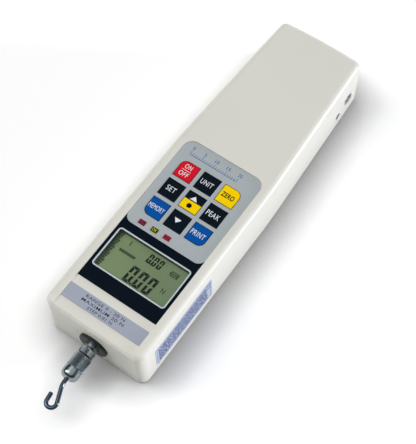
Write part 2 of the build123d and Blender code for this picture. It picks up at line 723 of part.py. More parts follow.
strap_top = battery_height + cell_radius + tray_clearance + strap_thickness
strap_middle = (battery_start + battery_end) / 2
strap_inner = tray_half_width + plate_gap
with BuildPart() as battery_strap:
    block(-strap_inner - strap_thickness, strap_inner + strap_thickness,
          strap_middle - strap_width / 2, strap_middle + strap_width / 2, back_plate, strap_top)
    block(-strap_inner, strap_inner, strap_middle - strap_width / 2,
          strap_middle + strap_width / 2, back_plate, strap_top - strap_thickness, Mode.SUBTRACT)
battery_strap.part.label = "battery_strap"

# ------------------------------------------------------------------ side sockets
with BuildPart() as charging_jack:
    block(jack_body_end - jack_depth, jack_body_end, jack_from_front - jack_width / 2,
          jack_from_front + jack_width / 2, port_board_top, port_board_top + jack_body_height)
    side_rod(jack_from_front, jack_height, jack_nose_diameter, jack_body_end, jack_face)
    side_rod(jack_from_front, jack_height, jack_bore_diameter, jack_body_end - jack_depth + jack_bottom,
             jack_face, Mode.SUBTRACT)
    side_rod(jack_from_front, jack_height, jack_pin_diameter, jack_body_end - jack_depth + jack_bottom,
             jack_face - pin_recess)
charging_jack.part.label = "charging_jack"

with BuildPart() as data_port:
    block(port_body_end - port_depth, port_body_end, port_from_front - port_width / 2,
          port_from_front + port_width / 2, port_board_top, 2 * port_height - port_board_top)
    side_rod(port_from_front, port_height, port_nose_diameter, port_body_end, port_face)
    side_rod(port_from_front, port_height, port_bore_diameter, port_face - port_bore_depth,
             port_face, Mode.SUBTRACT)
    with BuildSketch(Plane(origin=(port_face - port_bore_depth, from_front(port_from_front), port_height),
                           x_dir=(0, 1, 0), z_dir=(1, 0, 0))):
        with PolarLocations(port_pin_circle / 2, port_pins, 45):
            Circle(port_pin_diameter / 2)
    extrude(amount=port_bore_depth - pin_recess)
data_port.part.label = "data_port"

with BuildPart() as port_board:
    block(port_board_low_x, port_board_high_x, port_board_start, port_board_end,
          port_board_bottom, port_board_top)
    upright_rods(port_board_posts, board_screw_diameter + 2 * screw_clearance,
                 port_board_bottom, port_board_top, Mode.SUBTRACT)
port_board.part.label = "port_board"

with BuildPart() as port_board_screws:
    upright_rods(port_board_posts, board_screw_head, port_board_top,
                 port_board_top + board_screw_head_height)
    upright_rods(port_board_posts, board_screw_diameter, back_plate + post_screw_end_gap,
                 port_board_top)
port_board_screws.part.label = "port_board_screws"

with BuildPart() as side_label:
    with BuildSketch(Plane(origin=(half_width, from_front((label_start + label_end) / 2),
                                   (label_low + label_high) / 2), x_dir=(0, 1, 0), z_dir=(1, 0, 0))):
        RectangleRounded(label_end - label_start, label_high - label_low, label_corner)
    extrude(amount=label_thickness)
side_label.part.label = "side_label"

# ------------------------------------------------------------------ export
os.makedirs("parts", exist_ok=True)
pieces = [front_cover, rear_cover, cover_screw_set, stand_inserts, rating_plate, display_panel,
          window_trim, display_window, keypad_plate, key_switches, lcd_glass, lcd_holder,
          main_board, board_screw_set, buzzer, load_cell, load_cell_bracket, load_cell_screws,
          bracket_screw_set, measuring_spindle, shaft_collar, collar_nut, lock_ring,
          hook_adapter, hook, battery_pack, battery_tray, battery_strap, charging_jack,
          data_port, port_board, port_board_screws, side_label]
for part in [piece.part for piece in pieces] + keys + lamps:
    export_step(part, f"parts/{part.label}.step")
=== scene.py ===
import random
from math import atan2, cos, hypot, pi, radians, sin

import bmesh
import bpy
from mathutils import Matrix, Vector

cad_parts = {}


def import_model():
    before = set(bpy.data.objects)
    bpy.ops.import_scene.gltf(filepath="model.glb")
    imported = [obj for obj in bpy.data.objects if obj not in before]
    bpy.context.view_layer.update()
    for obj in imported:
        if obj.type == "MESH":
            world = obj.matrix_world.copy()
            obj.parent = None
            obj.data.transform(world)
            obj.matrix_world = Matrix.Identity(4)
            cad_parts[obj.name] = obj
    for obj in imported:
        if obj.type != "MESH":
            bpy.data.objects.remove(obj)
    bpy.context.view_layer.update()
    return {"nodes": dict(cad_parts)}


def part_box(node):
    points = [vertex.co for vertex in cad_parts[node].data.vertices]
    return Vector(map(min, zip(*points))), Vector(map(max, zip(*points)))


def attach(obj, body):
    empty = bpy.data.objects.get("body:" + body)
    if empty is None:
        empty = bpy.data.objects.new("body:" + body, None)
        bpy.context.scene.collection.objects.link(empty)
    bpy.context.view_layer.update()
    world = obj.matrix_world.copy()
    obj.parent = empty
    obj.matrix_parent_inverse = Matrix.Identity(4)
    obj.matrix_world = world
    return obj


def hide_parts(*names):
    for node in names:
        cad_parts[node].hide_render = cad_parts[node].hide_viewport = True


# Looks of a hand-held digital force gauge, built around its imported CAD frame.
# Everything is in metres in the frame's own axes: +X to the right as the display reads,
# +Y along the measuring axis to the rear, +Z out of the display. Sizes in this file are
# written in millimetres and turned into metres by mm().

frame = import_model()
scene = bpy.context.scene


def mm(value):
    """Millimetres to metres."""
    return value * 0.001


def in_mm(value):
    """Metres to millimetres."""
    return value / mm(1)


def srgb(red, green, blue):
    """An 8-bit screen colour as the linear colour that shaders use."""
    linear = []
    for channel in (red, green, blue):
        share = channel / 255
        linear.append(share / 12.92 if share <= 0.04045 else ((share + 0.055) / 1.055) ** 2.4)
    return (*linear, 1.0)


# ------------------------------------------------------------------ places read from the frame
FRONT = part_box("front_cover")[0].y
adapter_low, adapter_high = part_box("hook_adapter")
AXIS_Z = (adapter_low.z + adapter_high.z) / 2
PLATE_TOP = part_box("keypad_plate")[1].z
LCD_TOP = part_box("lcd_glass")[1].z
LABEL_LOW, LABEL_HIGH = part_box("side_label")

PRINT = mm(0.02)             # thickness of a printed mark
SUNK = mm(0.01)              # how far a mark reaches into what it is printed on


def past_front(y):
    """How far a place lies behind the front wall, in millimetres."""
    return in_mm(y - FRONT)


# ------------------------------------------------------------------ materials
def node_material(name):
    """A new node material with its tree's nodes, links and main shader."""
    made = bpy.data.materials.new(name)
    made.use_nodes = True
    tree = made.node_tree
    return made, tree.nodes, tree.links, tree.nodes["Principled BSDF"]


def noise(nodes, links, size, detail=3.0, stretch=(1, 1, 1)):
    """Noise over the object's own coordinates with features of about size millimetres."""
    where = nodes.new("ShaderNodeTexCoord")
    spread = nodes.new("ShaderNodeMapping")
    spread.inputs["Scale"].default_value = stretch
    pattern = nodes.new("ShaderNodeTexNoise")
    pattern.inputs["Scale"].default_value = 1 / mm(size)
    pattern.inputs["Detail"].default_value = detail
    links.new(where.outputs["Object"], spread.inputs["Vector"])
    links.new(spread.outputs["Vector"], pattern.inputs["Vector"])
    return pattern.outputs["Fac"]


def ramp(nodes, links, source, stops):
    """A colour ramp over source; stops are (place, colour)."""
    made = nodes.new("ShaderNodeValToRGB")
    points = made.color_ramp.elements
    while len(points) < len(stops):
        points.new(0.5)
    for point, (place, colour) in zip(points, stops):
        point.position = place
        point.color = colour
    links.new(source, made.inputs["Fac"])
    return made.outputs["Color"]


def tinted(colour, factor):
    """A colour made lighter or darker."""
    return (*[min(1.0, channel * factor) for channel in colour[:3]], 1.0)


COAT_ROUGHNESS = 0.12
MOTTLE_STOPS = (0.3, 0.7)    # where the noise reaches a mottled colour's dark and pale ends
LOWEST_ROUGHNESS = 0.02


def finish(name, colour, rough, metal=0.0, mottle=0.04, mottle_size=12.0, rough_spread=0.06,
           grain=0.25, grain_size=0.6, grain_depth=0.01, stretch=(1, 1, 1), coat=0.0, alpha=1.0,
           shine=0.5):
    """A surface with uneven colour and roughness and a fine grain in relief."""
    made, nodes, links, shader = node_material(name)
    shader.inputs["Metallic"].default_value = metal
    shader.inputs["Specular IOR Level"].default_value = shine
    shader.inputs["Coat Weight"].default_value = coat
    shader.inputs["Coat Roughness"].default_value = COAT_ROUGHNESS
    shader.inputs["Alpha"].default_value = alpha
    blotches = noise(nodes, links, mottle_size)
    shades = (tinted(colour, 1 - mottle), tinted(colour, 1 + mottle))
    links.new(ramp(nodes, links, blotches, list(zip(MOTTLE_STOPS, shades))),
              shader.inputs["Base Color"])
    rub = nodes.new("ShaderNodeMapRange")
    rub.inputs["To Min"].default_value = max(LOWEST_ROUGHNESS, rough - rough_spread)
    rub.inputs["To Max"].default_value = rough + rough_spread
    links.new(noise(nodes, links, mottle_size / 3), rub.inputs["Value"])
    links.new(rub.outputs["Result"], shader.inputs["Roughness"])
    relief = nodes.new("ShaderNodeBump")
    relief.inputs["Strength"].default_value = grain
    relief.inputs["Distance"].default_value = mm(grain_depth)
    links.new(noise(nodes, links, grain_size, stretch=stretch), relief.inputs["Height"])
    links.new(relief.outputs["Normal"], shader.inputs["Normal"])
    return made


def lcd_reflector():
    """The grey-green back of the display, a little paler towards its left end."""
    made, nodes, links, shader = node_material("lcd_reflector")
    where = nodes.new("ShaderNodeTexCoord")
    split = nodes.new("ShaderNodeSeparateXYZ")
    across = nodes.new("ShaderNodeMapRange")
    low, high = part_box("lcd_glass")
    across.inputs["From Min"].default_value = low.x
    across.inputs["From Max"].default_value = high.x
    links.new(where.outputs["Object"], split.inputs["Vector"])
    links.new(split.outputs["X"], across.inputs["Value"])
    links.new(ramp(nodes, links, across.outputs["Result"],
                   ((0.1, srgb(108, 130, 84)), (0.95, srgb(98, 120, 82)))),
              shader.inputs["Base Color"])
    relief = nodes.new("ShaderNodeBump")
    relief.inputs["Strength"].default_value = 0.4
    relief.inputs["Distance"].default_value = mm(0.01)
    links.new(noise(nodes, links, 0.15), relief.inputs["Height"])
    links.new(relief.outputs["Normal"], shader.inputs["Normal"])
    shader.inputs["Roughness"].default_value = 0.6
    return made


def circuit():
    """Green solder mask with a faint maze of tracks."""
    made, nodes, links, shader = node_material("circuit")
    where = nodes.new("ShaderNodeTexCoord")
    cells = nodes.new("ShaderNodeTexVoronoi")
    cells.distance = "MANHATTAN"
    cells.inputs["Scale"].default_value = 1 / mm(3)
    links.new(where.outputs["Object"], cells.inputs["Vector"])
    links.new(ramp(nodes, links, cells.outputs["Distance"],
                   ((0.35, srgb(20, 92, 48)), (0.5, srgb(38, 120, 66)))),
              shader.inputs["Base Color"])
    shader.inputs["Roughness"].default_value = 0.35
    return made


PAINT = finish("paint", srgb(213, 212, 203), 0.42, mottle=0.012, mottle_size=40, grain=0.35,
               grain_size=1.1, grain_depth=0.012, rough_spread=0.05)
FILM_SHINE = 0.04            # printed films reflect little
PLATE_GREY = finish("plate_grey", srgb(167, 174, 177), 0.5, mottle=0.02, grain_size=0.25,
                    shine=FILM_SHINE)
RATING_GREY = finish("rating_grey", srgb(160, 166, 180), 0.5, mottle=0.02, grain_size=0.25,
                     shine=FILM_SHINE)
NAVY = finish("navy", srgb(2, 13, 26), 0.4, mottle=0.08, grain_size=0.3, shine=FILM_SHINE)
TRIM = finish("trim", srgb(192, 202, 206), 0.4, mottle=0.02, shine=0.2)
CLEAR = finish("clear", srgb(240, 246, 240), 0.06, rough_spread=0.02, alpha=0.01, grain=0.05)
REFLECTOR = lcd_reflector()
SEGMENT = finish("segment", srgb(0, 8, 3), 0.6, shine=FILM_SHINE)
SEGMENT_FAINT = finish("segment_faint", srgb(56, 74, 50), 0.6, shine=FILM_SHINE)
RED = finish("red", srgb(206, 20, 40), 0.45, mottle=0.03, grain_size=0.25, shine=FILM_SHINE)
YELLOW = finish("yellow", srgb(246, 206, 0), 0.45, mottle=0.02, grain_size=0.25, shine=FILM_SHINE)
BLUE = finish("blue", srgb(0, 78, 156), 0.45, mottle=0.03, grain_size=0.25, shine=FILM_SHINE)
KEY_BLACK = finish("key_black_film", srgb(6, 18, 28), 0.45, mottle=0.06, grain_size=0.25,
                   shine=FILM_SHINE)
INK_WHITE = finish("ink_white", srgb(226, 230, 232), 0.5, shine=FILM_SHINE)
INK_BLACK = finish("ink_black", srgb(10, 14, 18), 0.5, shine=FILM_SHINE)
INK_BLUE = finish("ink_blue", srgb(30, 96, 160), 0.5, shine=FILM_SHINE)
INK_GREY = finish("ink_grey", srgb(56, 60, 84), 0.5, shine=FILM_SHINE)
INK_LABEL = finish("ink_label", srgb(70, 80, 118), 0.5, shine=FILM_SHINE)
LAMP_DARK_RED = finish("lamp_dark_red", srgb(120, 14, 52), 0.25, shine=0.3)
LAMP_RED = finish("lamp_bright_red", srgb(150, 14, 40), 0.25, shine=0.3)
LAMP_GREEN = finish("lamp_yellow_green", srgb(196, 196, 40), 0.25, shine=0.3)
CHROME = finish("chrome", srgb(70, 84, 96), 0.14, metal=1, mottle=0.05, mottle_size=2,
                rough_spread=0.05, grain=0.2, grain_size=0.25, grain_depth=0.004)
# Painted shade: dark metal laid on the deep faces of the knurl's grooves.
PAINTED_GROOVE_SHADE = finish("painted_groove_shade", srgb(70, 82, 84), 0.4, metal=0.8, shine=0.3)
NICKEL = finish("nickel", srgb(138, 147, 151), 0.2, metal=1, mottle=0.06, mottle_size=2,
                grain=0.3, grain_size=0.2, grain_depth=0.006)
STEEL = finish("steel", srgb(150, 154, 156), 0.3, metal=1, mottle=0.06, mottle_size=4)
DARK_STEEL = finish("dark_steel", srgb(70, 72, 76), 0.35, metal=1, mottle=0.1, mottle_size=3)
ALUMINIUM = finish("aluminium", srgb(200, 202, 204), 0.35, metal=1, stretch=(1, 8, 8),
                   grain_size=0.4, grain=0.4)
BRASS = finish("brass", srgb(196, 160, 88), 0.25, metal=1, mottle=0.06, mottle_size=3)
COLLAR = finish("collar", srgb(20, 32, 29), 0.4, mottle=0.12, mottle_size=3, shine=0.25)
BLACK_PLASTIC = finish("black_plastic", srgb(34, 35, 36), 0.5, mottle=0.06, grain_size=0.4)
# Painted light: the sockets are coloured pale so that their shaded bores and mouth rings read
# light.
SOCKET = finish("socket", srgb(226, 229, 232), 0.45, mottle=0.04, grain_size=0.4)
# Painted shade: a dark green-grey laid under the display pane's ledge and on the walls of its
# opening.
PAINTED_WINDOW_SHADE = finish("painted_window_shade", srgb(62, 74, 64), 0.7, shine=FILM_SHINE)
CIRCUIT = circuit()
SLEEVE = finish("sleeve", srgb(48, 96, 156), 0.3, mottle=0.05)
LABEL = finish("label", srgb(172, 182, 200), 0.45, mottle=0.04, mottle_size=5, shine=FILM_SHINE)


def dress(material, *nodes):
    """Gives a material to every slot of the CAD nodes."""
    for node in nodes:
        for slot in frame["nodes"][node].material_slots:
            slot.material = material


dress(PAINT, "front_cover", "rear_cover")
dress(RATING_GREY, "rating_plate")
dress(NAVY, "display_panel")
dress(TRIM, "window_trim")
dress(CLEAR, "display_window")
dress(PLATE_GREY, "keypad_plate")
dress(REFLECTOR, "lcd_glass")
dress(BLACK_PLASTIC, "lcd_holder", "key_switches", "buzzer", "battery_tray", "battery_strap")
dress(CIRCUIT, "main_board", "port_board")
dress(ALUMINIUM, "load_cell", "load_cell_bracket")
dress(DARK_STEEL, "load_cell_screws", "bracket_screws")
dress(STEEL, "board_screws", "port_board_screws", "collar_nut", "cover_screws", "measuring_spindle")
dress(BRASS, "stand_inserts")
dress(COLLAR, "shaft_collar")
dress(NICKEL, "lock_ring", "hook_adapter")
dress(CHROME, "hook")
dress(SLEEVE, "battery_pack")
dress(SOCKET, "charging_jack", "data_port")
dress(LABEL, "side_label")
dress(RED, "key_on_off")
dress(YELLOW, "key_zero")
dress(BLUE, "key_memory", "key_print")
dress(KEY_BLACK, "key_unit", "key_set", "key_up", "key_peak", "key_down")
dress(LAMP_DARK_RED, "lamp_low")
dress(LAMP_GREEN, "lamp_ok")
dress(LAMP_RED, "lamp_high")


# ------------------------------------------------------------------ shapes
# A look is a material with the name of the record's material slot that it stands for.
WHITE = (INK_WHITE, "trim_white")
BLACK = (INK_BLACK, "black_plastic")
SCALE_BLUE = (INK_BLUE, "key_blue")
RATING_INK = (INK_GREY, "black_plastic")
BAND_YELLOW = (YELLOW, "key_yellow")
LIT_WORD = (LAMP_GREEN, "lamp_green")
LIT = (SEGMENT, "black_plastic")
FAINT = (SEGMENT_FAINT, "black_plastic")
WINDOW_SHADE_LOOK = (PAINTED_WINDOW_SHADE, "black_plastic")
LABEL_FILM = (LABEL, "label_film")
LABEL_PRINT = (INK_LABEL, "label_film")
PLATED = (NICKEL, "nickel")
BARE_STEEL = (STEEL, "plated_steel")
BRASS_BUSH = (BRASS, "plated_steel")
PALE_SHELL = (SOCKET, "socket_plastic")
CONTACT = (BRASS, "nickel")


def piece(name, shape, look, body):
    """A mesh object from a bmesh, riding on a body of the frame."""
    material, slot = look
    bmesh.ops.recalc_face_normals(shape, faces=shape.faces)
    mesh = bpy.data.meshes.new(name)
    shape.to_mesh(mesh)
    shape.free()
    mesh.materials.append(material)
    made = bpy.data.objects.new(name, mesh)
    scene.collection.objects.link(made)
    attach(made, body)
    return made


def smooth(made, angle=30):
    """Shades a piece smooth, with sharp edges above the angle."""
    made.data.polygons.foreach_set("use_smooth", [True] * len(made.data.polygons))
    made.data.set_sharp_from_angle(angle=radians(angle))


def on_top(x, distance, height):
    """A point over the display face: millimetres across and from the front, metres up."""
    return Vector((mm(x), FRONT + mm(distance), height))


def on_side(along, height, out):
    """A point on the +X wall: millimetres from the front and up, metres outwards."""
    return Vector((out, FRONT + mm(along), mm(height)))


def ribbon(shape, row, nearby):
    """Faces between two closed rows of as many points each."""
    for here in range(len(row)):
        after = (here + 1) % len(row)
        shape.faces.new((row[here], row[after], nearby[after], nearby[here]))


def prisms(name, loops, low, high, place, look, body):
    """Thin flat bodies, one for each loop of plan points."""
    shape = bmesh.new()
    for loop in loops:
        under = [shape.verts.new(place(u, v, low)) for u, v in loop]
        over = [shape.verts.new(place(u, v, high)) for u, v in loop]
        shape.faces.new(under)
        shape.faces.new(over)
        ribbon(shape, under, over)
    return piece(name, shape, look, body)


def printed(name, loops, top, look, body):
    """Marks printed on a face that lies at height top."""
    return prisms(name, loops, top - SUNK, top + PRINT, on_top, look, body)


def band(name, outer, inner, low, high, place, look, body):
    """A flat frame between two loops with as many points each."""
    shape = bmesh.new()
    rows = [[shape.verts.new(place(u, v, level)) for u, v in loop]
            for loop, level in ((outer, low), (outer, high), (inner, high), (inner, low))]
    for row, nearby in zip(rows, rows[1:] + rows[:1]):
        ribbon(shape, row, nearby)
    return piece(name, shape, look, body)


def bar(x_low, y_low, x_high, y_high):
    """A rectangle's loop."""
    return [(x_low, y_low), (x_high, y_low), (x_high, y_high), (x_low, y_high)]


def bar_round(x, y, box):
    """A rectangle's loop for a box that is given from a middle."""
    return bar(x + box[0], y + box[1], x + box[2], y + box[3])


def outline_bars(x_low, y_low, x_high, y_high, thick):
    """Four bars round a rectangle."""
    return [bar(x_low, y_low, x_high, y_low + thick), bar(x_low, y_high - thick, x_high, y_high),
            bar(x_low, y_low, x_low + thick, y_high), bar(x_high - thick, y_low, x_high, y_high)]


def grown(box, by):
    """A box of plan values, grown all round."""
    return box[0] - by, box[1] - by, box[2] + by, box[3] + by


def rounded(x_low, y_low, x_high, y_high, radii, steps=8):
    """A rectangle's loop with a radius for each corner, from the lower left anticlockwise."""
    corners = ((x_low, y_low, 1, 1), (x_high, y_low, -1, 1), (x_high, y_high, -1, -1),
               (x_low, y_high, 1, -1))
    loop = []
    for number, ((x, y, inward_x, inward_y), radius) in enumerate(zip(corners, radii)):
        centre = (x + inward_x * radius, y + inward_y * radius)
        for step in range(steps + 1):
            angle = pi + (number + step / steps) * pi / 2
            loop.append((centre[0] + radius * cos(angle), centre[1] + radius * sin(angle)))
    return loop


def circle(u, v, radius, steps=32, turn=0.0):
    """A circle's loop, which starts at the angle turn."""
    angles = [2 * pi * step / steps + turn for step in range(steps)]
    return [(u + radius * cos(angle), v + radius * sin(angle)) for angle in angles]


def spaced(first, last, count):
    """Evenly spaced values, both ends included."""
    return [first + (last - first) * number / (count - 1) for number in range(count)]


LETTER_SPACING = 1.1
USUAL_WEIGHT = 0.005         # how far strokes are thickened, for letters about 1 high
SAME_POINT = 0.0001          # letters' points closer than this are joined


def lettering(name, words, middle, size, low, look, body, weight=USUAL_WEIGHT, thick=PRINT):
    """Words in relief on the display face, fitted into a box of the given size."""
    curve = bpy.data.curves.new(name, "FONT")
    curve.body = words
    curve.offset = weight
    curve.space_character = LETTER_SPACING
    writer = bpy.data.objects.new(name, curve)
    scene.collection.objects.link(writer)
    bpy.context.view_layer.update()
    flat = bpy.data.meshes.new_from_object(writer)
    bpy.data.objects.remove(writer)
    shape = bmesh.new()
    shape.from_mesh(flat)
    bpy.data.meshes.remove(flat)
    bmesh.ops.remove_doubles(shape, verts=shape.verts, dist=SAME_POINT)
    across = [vertex.co.x for vertex in shape.verts]
    upwards = [vertex.co.y for vertex in shape.verts]
    wide, tall = max(across) - min(across), max(upwards) - min(upwards)
    raised = bmesh.ops.extrude_face_region(shape, geom=shape.faces)["geom"]
    raised = {item for item in raised if isinstance(item, bmesh.types.BMVert)}
    for vertex in shape.verts:
        u = middle[0] + ((vertex.co.x - min(across)) / wide - 0.5) * size[0]
        v = middle[1] + ((vertex.co.y - min(upwards)) / tall - 0.5) * size[1]
        vertex.co = on_top(u, v, low + thick if vertex in raised else low)
    return piece(name, shape, look, body)


def middle_of(node):
    """The plan middle of a node: millimetres across and from the front."""
    low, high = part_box(node)
    return in_mm((low.x + high.x) / 2), past_front((low.y + high.y) / 2)


# ------------------------------------------------------------------ keys and their legends
LEGENDS = {                  # words, offset from the key's middle, size, look
    "on_off": (("ON", (-0.4, 2.8), (4.6, 3.0), WHITE), ("OFF", (-0.5, -2.4), (6.0, 3.0), WHITE)),
    "unit": (("UNIT", (-0.4, 0.0), (8.0, 3.3), WHITE),),
    "zero": (("ZERO", (-0.4, 0.0), (8.2, 3.3), BLACK),),
    "set": (("SET", (-0.4, 0.2), (6.0, 3.4), WHITE),),
    "peak": (("PEAK", (-0.4, 0.0), (8.5, 3.4), WHITE),),
    "memory": (("MEMORY", (-0.2, 0.3), (10.0, 3.2), WHITE),),
    "print": (("PRINT", (-0.4, 0.0), (9.0, 3.3), WHITE),),
}
LEGEND_WEIGHTS = {WHITE: 0.0, BLACK: 0.03}         # dark words have bolder strokes
WORD_RULE = (-3.5, 0.1, 2.6, 0.35)                 # line between the two words of one key
ARROW_HALF, ARROW_HEIGHT = 2.3, 2.9
UP_ARROW, DOWN_ARROW = (-0.4, 2.6), (-0.5, 0.2)    # offsets from the middles of their keys
BAND_RISE = 0.45                                   # top of the yellow band on the up key
SUN_SHIFT = (-0.5, 0.1)                            # from the middle of the yellow band
SUN_REACHES, SUN_RAYS = (1.9, 1.35), 9             # radii at the rays and between them
KEY_RIM = 0.4                                      # hidden flange of a key, per side
KEY_CORNER = 4.0                                   # the one large corner of a corner key
LARGE_CORNER = {"on_off": 3, "zero": 2, "memory": 0, "print": 1}
SHARP_OUTSIDE, SHARP_INSIDE = 0.06, 0.05           # radii of the border's other corners
BORDER = 0.28                                      # dark line printed round a coloured key


def key_top(key):
    """A key's face: its plan box in millimetres and its height in metres."""
    low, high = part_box("key_" + key)
    box = (in_mm(low.x), past_front(low.y), in_mm(high.x), past_front(high.y))
    return grown(box, -KEY_RIM), high.z


def key_border(key):
    """The dark outline of a coloured key."""
    box, top = key_top(key)
    outer_radii = [SHARP_OUTSIDE] * 4
    inner_radii = [SHARP_INSIDE] * 4
    outer_radii[LARGE_CORNER[key]] = KEY_CORNER
    inner_radii[LARGE_CORNER[key]] = KEY_CORNER - BORDER
    band("outline_" + key, rounded(*box, outer_radii), rounded(*grown(box, -BORDER), inner_radii),
         top - SUNK, top + PRINT, on_top, BLACK, "button_" + key)


def triangle(x, y, half, height):
    """An isosceles triangle's loop; a negative height points it towards the front."""
    return [(x - half, y - height / 2), (x + half, y - height / 2), (x, y + height / 2)]


def star(x, y, reaches, rays):
    """A star's loop with short rays."""
    return [(x + reaches[number % 2] * cos(pi * number / rays),
             y + reaches[number % 2] * sin(pi * number / rays)) for number in range(2 * rays)]


for key, lines in LEGENDS.items():
    x, y = middle_of("key_" + key)
    top = key_top(key)[1]
    for words, (over, up), size, look in lines:
        lettering("legend_" + words.lower(), words, (x + over, y + up), size, top - SUNK, look,
                  "button_" + key, weight=LEGEND_WEIGHTS[look], thick=SUNK + PRINT)
for key in LARGE_CORNER:
    key_border(key)

x, y = middle_of("key_on_off")
printed("legend_on_off_rule", [bar_round(x, y, WORD_RULE)], key_top("on_off")[1], WHITE,
        "button_on_off")

x, y = middle_of("key_up")
box, top = key_top("up")
band_low, band_high = box[1], y + BAND_RISE
printed("legend_up_band", [bar(box[0] + BORDER, band_low + BORDER, box[2] - BORDER, band_high)],
        top, BAND_YELLOW, "button_up")
prisms("legend_up_sun", [star(x + SUN_SHIFT[0], (band_low + band_high) / 2 + SUN_SHIFT[1],
                              SUN_REACHES, SUN_RAYS)],
       top, top + 1.5 * PRINT, on_top, BLACK, "button_up")
printed("legend_up_arrow", [triangle(x + UP_ARROW[0], y + UP_ARROW[1], ARROW_HALF, ARROW_HEIGHT)],
        top, WHITE, "button_up")
x, y = middle_of("key_down")
printed("legend_down_arrow",
        [triangle(x + DOWN_ARROW[0], y + DOWN_ARROW[1], ARROW_HALF, -ARROW_HEIGHT)],
        top, WHITE, "button_down")

# ------------------------------------------------------------------ lamps
LAMP_WORDS = (("low", "LO", BLACK), ("ok", "OK", LIT_WORD), ("high", "HI", BLACK))
LAMP_WORD_SIZE = (3.2, 1.9)
LAMP_MASK = (-2.15, -1.45, 2.15, 1.45)             # dark field behind the lit word
for lamp, words, look in LAMP_WORDS:
    x, y = middle_of("lamp_" + lamp)
    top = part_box("lamp_" + lamp)[1].z
    if look is LIT_WORD:
        printed("lamp_ok_mask", [bar_round(x, y, LAMP_MASK)], top, BLACK, "housing")
    lettering("lamp_word_" + lamp, words, (x, y), LAMP_WORD_SIZE, top, look, "housing",
              thick=2 * PRINT)

# ------------------------------------------------------------------ plates
SCALE_START, SCALE_END, SCALE_ROW = -20.0, 12.0, 119.0
SCALE_STEPS, SCALE_NUMBERED = 20, 5                # every fifth step has a number
LINE_HALF, TICK_HALF = 0.15, 0.14
LONG_TICK, SHORT_TICK = 2.6, 1.5
NUMBER_RISE, NUMBER_WIDTH, NUMBER_HEIGHT = 4.6, 1.3, 2.3
ticks = [bar(SCALE_START, SCALE_ROW - LINE_HALF, SCALE_END, SCALE_ROW + LINE_HALF)]
for step in range(SCALE_STEPS + 1):
    x = SCALE_START + (SCALE_END - SCALE_START) * step / SCALE_STEPS
    numbered = step % SCALE_NUMBERED == 0
    tall = LONG_TICK if numbered else SHORT_TICK
    ticks.append(bar(x - TICK_HALF, SCALE_ROW, x + TICK_HALF, SCALE_ROW + tall))
    if numbered:
        lettering(f"scale_number_{step}", str(step), (x, SCALE_ROW + NUMBER_RISE),
                  (NUMBER_WIDTH * len(str(step)), NUMBER_HEIGHT), PLATE_TOP - SUNK, SCALE_BLUE,
                  "housing", thick=SUNK + PRINT)
printed("scale_ticks", ticks, PLATE_TOP, SCALE_BLUE, "housing")

RATING_LINES = (("RANGE 0 - 20 N", 26.0), ("MAXIMUM 20 N", 28.0), ("STEP 0.01 N", 16.5))
RATING_MIDDLE, RATING_FIRST, RATING_PITCH, RATING_HEIGHT = -1.5, 15.1, 2.75, 1.8
for row, (words, wide) in enumerate(RATING_LINES):
    lettering(f"rating_line_{row}", words, (RATING_MIDDLE, RATING_FIRST - RATING_PITCH * row),
              (wide, RATING_HEIGHT), PLATE_TOP - SUNK, RATING_INK, "housing", thick=SUNK + PRINT)

# ------------------------------------------------------------------ display
SLANT = 0.10                 # sideways lean of the figures
SEGMENT_LIFT = mm(0.12)      # figures float over the reflector, so they cast a soft shadow
LCD_LEVELS = (LCD_TOP + SEGMENT_LIFT, LCD_TOP + SEGMENT_LIFT + PRINT)
PLACES = 3                   # figures in a reading
POINT_HALF = 0.3             # half the decimal point's width, in stroke widths


def zero_figure(x, y, wide, tall, thick, gap):
    """The six lit segments of a nought."""
    def lean(loop):
        return [(x + u + SLANT * v, y + v) for u, v in loop]
    half = tall / 2
    shapes = [
        [(gap, tall), (wide - gap, tall), (wide - thick - gap, tall - thick),
         (thick + gap, tall - thick)],
        [(thick + gap, thick), (wide - thick - gap, thick), (wide - gap, 0), (gap, 0)]]
    for outer, inner in ((0, thick), (wide, wide - thick)):
        shapes.append([(outer, tall - gap), (inner, tall - thick - gap), (inner, half + thick / 2),
                       (outer, half + gap)])
        shapes.append([(outer, half - gap), (inner, half - thick / 2), (inner, thick + gap),
                       (outer, gap)])
    return [lean(loop) for loop in shapes]


def reading(name, x, y, wide, tall, thick, gap, pitch):
    """The reading 0.00 in slanted segments, its foot's left end at x, y."""
    loops = []
    for place in range(PLACES):
        loops += zero_figure(x + place * pitch, y, wide, tall, thick, gap)
    point = x + (wide + pitch) / 2
    half = POINT_HALF * thick
    loops.append(bar(point - half, y, point + half, y + 3 * half))
    prisms(name, loops, *LCD_LEVELS, on_top, LIT, "housing")


reading("reading_large", -6.0, 34.5, wide=4.6, tall=10.8, thick=1.6, gap=0.16, pitch=6.35)
reading("reading_small", -1.7, 50.5, wide=2.6, tall=6.0, thick=0.98, gap=0.1, pitch=3.45)

BATTERY_CASE, BATTERY_LINE = (14.4, 51.3, 19.3, 54.6), 0.6
BATTERY_TIP = (13.8, 52.2, 14.4, 53.7)
CELL_STARTS, CELL_WIDTH = (15.4, 16.8, 17.9), 0.9
CELL_LOW, CELL_HIGH = 52.3, 53.6
prisms("battery_mark", outline_bars(*BATTERY_CASE, BATTERY_LINE) + [bar(*BATTERY_TIP)]
       + [bar(x, CELL_LOW, x + CELL_WIDTH, CELL_HIGH) for x in CELL_STARTS],
       *LCD_LEVELS, on_top, FAINT, "housing")

UNIT_MIDDLE, UNIT_SIZE = (17.1, 41.6), (2.2, 3.0)
lettering("unit_mark", "N", UNIT_MIDDLE, UNIT_SIZE, LCD_LEVELS[0], FAINT, "housing")

FIRST_LETTER, FAINT_LETTERS, FAINT_PITCH = (-17.8, 47.9, -16.55, 49.6), 8, 1.35
FAINT_STROKE = (-15.0, 53.4, -14.3, 56.4)
faint_letters = [bar_round(FAINT_PITCH * step, 0, FIRST_LETTER) for step in range(FAINT_LETTERS)]
prisms("faint_marks", faint_letters + [bar(*FAINT_STROKE)], *LCD_LEVELS, on_top, FAINT, "housing")

